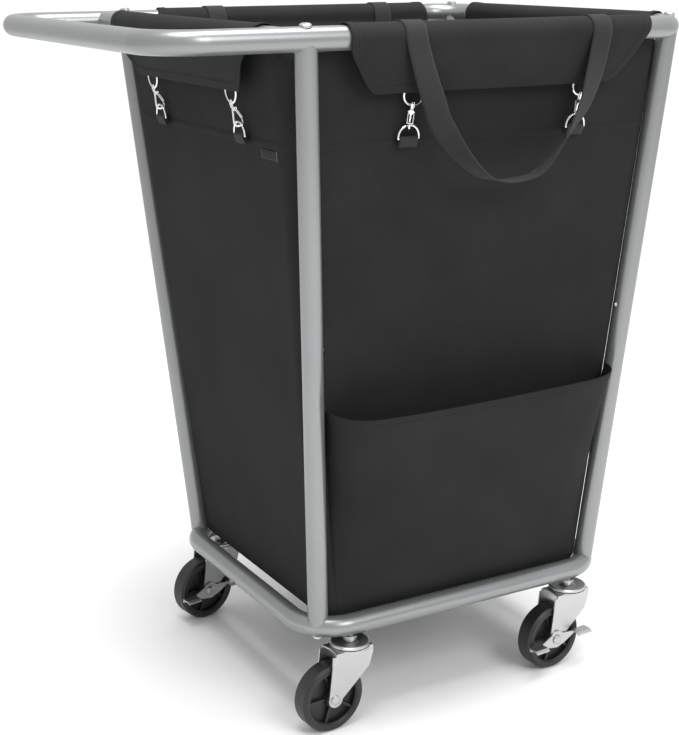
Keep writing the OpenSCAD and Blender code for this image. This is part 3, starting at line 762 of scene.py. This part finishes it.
def tabs():
    bm = bmesh.new()
    threads = bmesh.new()
    for side in SIDES:
        start, run_way, into = SIDES[side]
        base = Matrix((run_way, into, Vector((0, 0, 1)))).transposed().to_4x4()
        base = Matrix.Translation(start) @ base
        for sign in (-1, 1):
            eye = base @ Matrix.Translation((sign * HOOK_ALONG[side] * MM, EYE_IN[side] * MM, EYE_Z))
            lean = math.radians(HOOK_LEAN[side])
            hook = eye @ Matrix.Rotation(lean, 4, "X")
            turn = math.radians(GATE_TURN[side])
            step = Vector((CROOK_R * math.cos(turn), CROOK_R * math.sin(turn), CROOK_R - HOOK_L))
            wall = math.radians(WALL_LEAN)
            ring = hook @ Matrix.Translation(step) @ Matrix.Rotation(wall - lean, 4, "X")

            def upper(across, up, hook=hook):
                """Loops round the ring's bar and runs up behind the flap's hem."""
                turn = math.radians(-180 * clamp((up - 0.35) / 0.3))
                rise = 7 * MM * (clamp((0.35 - up) / 0.35) + clamp((up - 0.65) / 0.35))
                y, z = -1.75 * MM * math.cos(turn), 1.9 * MM * math.sin(turn) + rise
                return hook @ Vector(((across - 0.5) * TAB_W, y, RING_R + 3.5 * MM + z))

            def lower(across, up, ring=ring):
                """Loops round the ring's bar and is sewn down to the bag's wall below it."""
                bar = -RING_R - 1.5 * MM
                turn = math.radians(180 * clamp((up - 0.4) / 0.25))
                down = clamp((0.4 - up) / 0.4) + clamp((up - 0.65) / 0.35)
                into_wall = 2.6 * MM * ease(down) * (1 if up < 0.5 else 0.4)
                y = -1.8 * MM * math.cos(turn) + into_wall
                z = 1.9 * MM * math.sin(turn) - 9.5 * MM * down
                return ring @ Vector(((across - 0.5) * TAB_W, y, bar + z))

            for shape in (upper, lower):
                lay_cloth(bm, TAB_W, 0.024, 10, 26, shape, lambda p: Vector((0, 0, 0)))
            row = [ring @ Vector(((k / 10 - 0.5) * (TAB_W - 3 * MM), 0.2 * MM,
                                  -RING_R - 9.0 * MM)) for k in range(11)]
            stitch_row(threads, row, 2.2 * MM, 1.0 * MM)
    bmesh.ops.recalc_face_normals(bm, faces=bm.faces)
    piece = new_piece("ring_tab_webbing", bm, strap_web, replaced=["ring_tabs"])
    sheet = piece.modifiers.new("webbing thickness", "SOLIDIFY")
    sheet.thickness = 0.9 * MM
    sheet.offset = 0
    new_piece("ring_tab_stitching", threads, thread_grey)


def blank_label():
    """A small plain woven label sewn under the band seam, near the front corner, with a painted
    highlight: a lighter strip along its right edge.
    """
    bm = bmesh.new()
    begin, wide, tall = 0.9375, 0.0185, 11 * MM

    def place(across, up):
        top = SEAM_Z - 5 * MM
        curl = 0.8 * MM * math.sin(math.pi * up)
        return bag_point(begin + wide * across, top - tall * (1 - up), 0.5 * MM + curl * 0.4)

    lay_cloth(bm, 0.033, tall, 24, 8, place, out_of_cart)
    thicken(new_piece("side_label", bm, label_satin), 0.5 * MM)
    bm = bmesh.new()

    # A flat strip beside the label's right edge, far lighter than the label cloth: a painted highlight
    # on the lit label edge.
    def edge_highlight_strip(across, up):
        top = SEAM_Z - 5 * MM
        height = top - tall * (1 - up)
        return bag_point(begin + wide * (1.0 + 0.05 * across), height, 0.9 * MM)

    lay_cloth(bm, 0.0018, tall, 3, 8, edge_highlight_strip, out_of_cart)
    new_piece("side_label_edge_highlight", bm, label_edge_highlight)


bag_body()
bag_seams()
rim_binding()
flap("near", LONG_LOW, LONG_HIGH, "near_flap", "flap_near", 0.4)
flap("far", LONG_LOW, LONG_HIGH, "far_flap", "flap_far", 2.1)
flap("handle", HANDLE_LOW, HANDLE_HIGH, "handle_flap", "flap_handle", 1.2)
flap("end", END_LOW, END_HIGH, "end_flap", "flap_end", 3.0, (0, 0))
pocket()
strap("near", "near_strap", "strap_near", NEAR_LOOP)
strap("far", "far_strap", "strap_far", even_loop())
tabs()
blank_label()

# ---- studio ----
floor_bm = bmesh.new()
bmesh.ops.create_circle(floor_bm, cap_ends=True, segments=96, radius=2.9)
floor_mesh = bpy.data.meshes.new("studio_floor")
floor_bm.to_mesh(floor_mesh)
floor_bm.free()
floor = bpy.data.objects.new("studio_floor", floor_mesh)
bpy.context.scene.collection.objects.link(floor)
pale = new_material("studio_white", (0.93, 0.93, 0.93), 0.0, 0.9)[0]
floor_mesh.materials.append(pale)

world = bpy.data.worlds.new("studio_air")
bpy.context.scene.world = world
world.use_nodes = True
air = world.node_tree.nodes["Background"]
air.inputs["Color"].default_value = (1.0, 1.0, 1.0, 1)
air.inputs["Strength"].default_value = 0.8
backdrop = add(world.node_tree, "ShaderNodeBackground", Color=(1.0, 1.0, 1.0, 1), Strength=1.05)
rays = world.node_tree.nodes.new("ShaderNodeLightPath")
either = world.node_tree.nodes.new("ShaderNodeMixShader")
world.node_tree.links.new(rays.outputs["Is Camera Ray"], either.inputs[0])
world.node_tree.links.new(air.outputs[0], either.inputs[1])
world.node_tree.links.new(backdrop.outputs[0], either.inputs[2])
world.node_tree.links.new(either.outputs[0], world.node_tree.nodes["World Output"].inputs["Surface"])


def softbox(name, place, aim, wide, tall, power):
    lamp = bpy.data.lights.new(name, "AREA")
    lamp.shape = "RECTANGLE"
    lamp.size, lamp.size_y, lamp.energy = wide, tall, power
    lamp_object = bpy.data.objects.new(name, lamp)
    bpy.context.scene.collection.objects.link(lamp_object)
    lamp_object.location = place
    lamp_object.rotation_mode = "QUATERNION"
    lamp_object.rotation_quaternion = (Vector(aim) - Vector(place)).to_track_quat("-Z", "Y")


softbox("key_softbox", (0.5, -3.0, 2.5), (0, 0, 0.45), 1.6, 1.6, 48)
softbox("top_softbox", (0.1, -0.3, 3.0), (0, 0, 0.4), 2.4, 1.2, 85)

camera_data = bpy.data.cameras.new("studio_camera")
camera_data.lens = 72.2
camera_data.sensor_width = 36
camera_data.sensor_fit = "AUTO"
camera_data.shift_x = -0.0019
camera_data.shift_y = -0.011
camera_data.clip_start, camera_data.clip_end = 0.05, 200
camera = bpy.data.objects.new("studio_camera", camera_data)
bpy.context.scene.collection.objects.link(camera)
camera.location = (MID_X - 0.942, -1.5353, 0.8765)
camera.rotation_euler = (math.radians(90 - 15.49), math.radians(0.13), math.radians(-29.66))
bpy.context.scene.camera = camera
bpy.context.scene.view_settings.view_transform = "Standard"
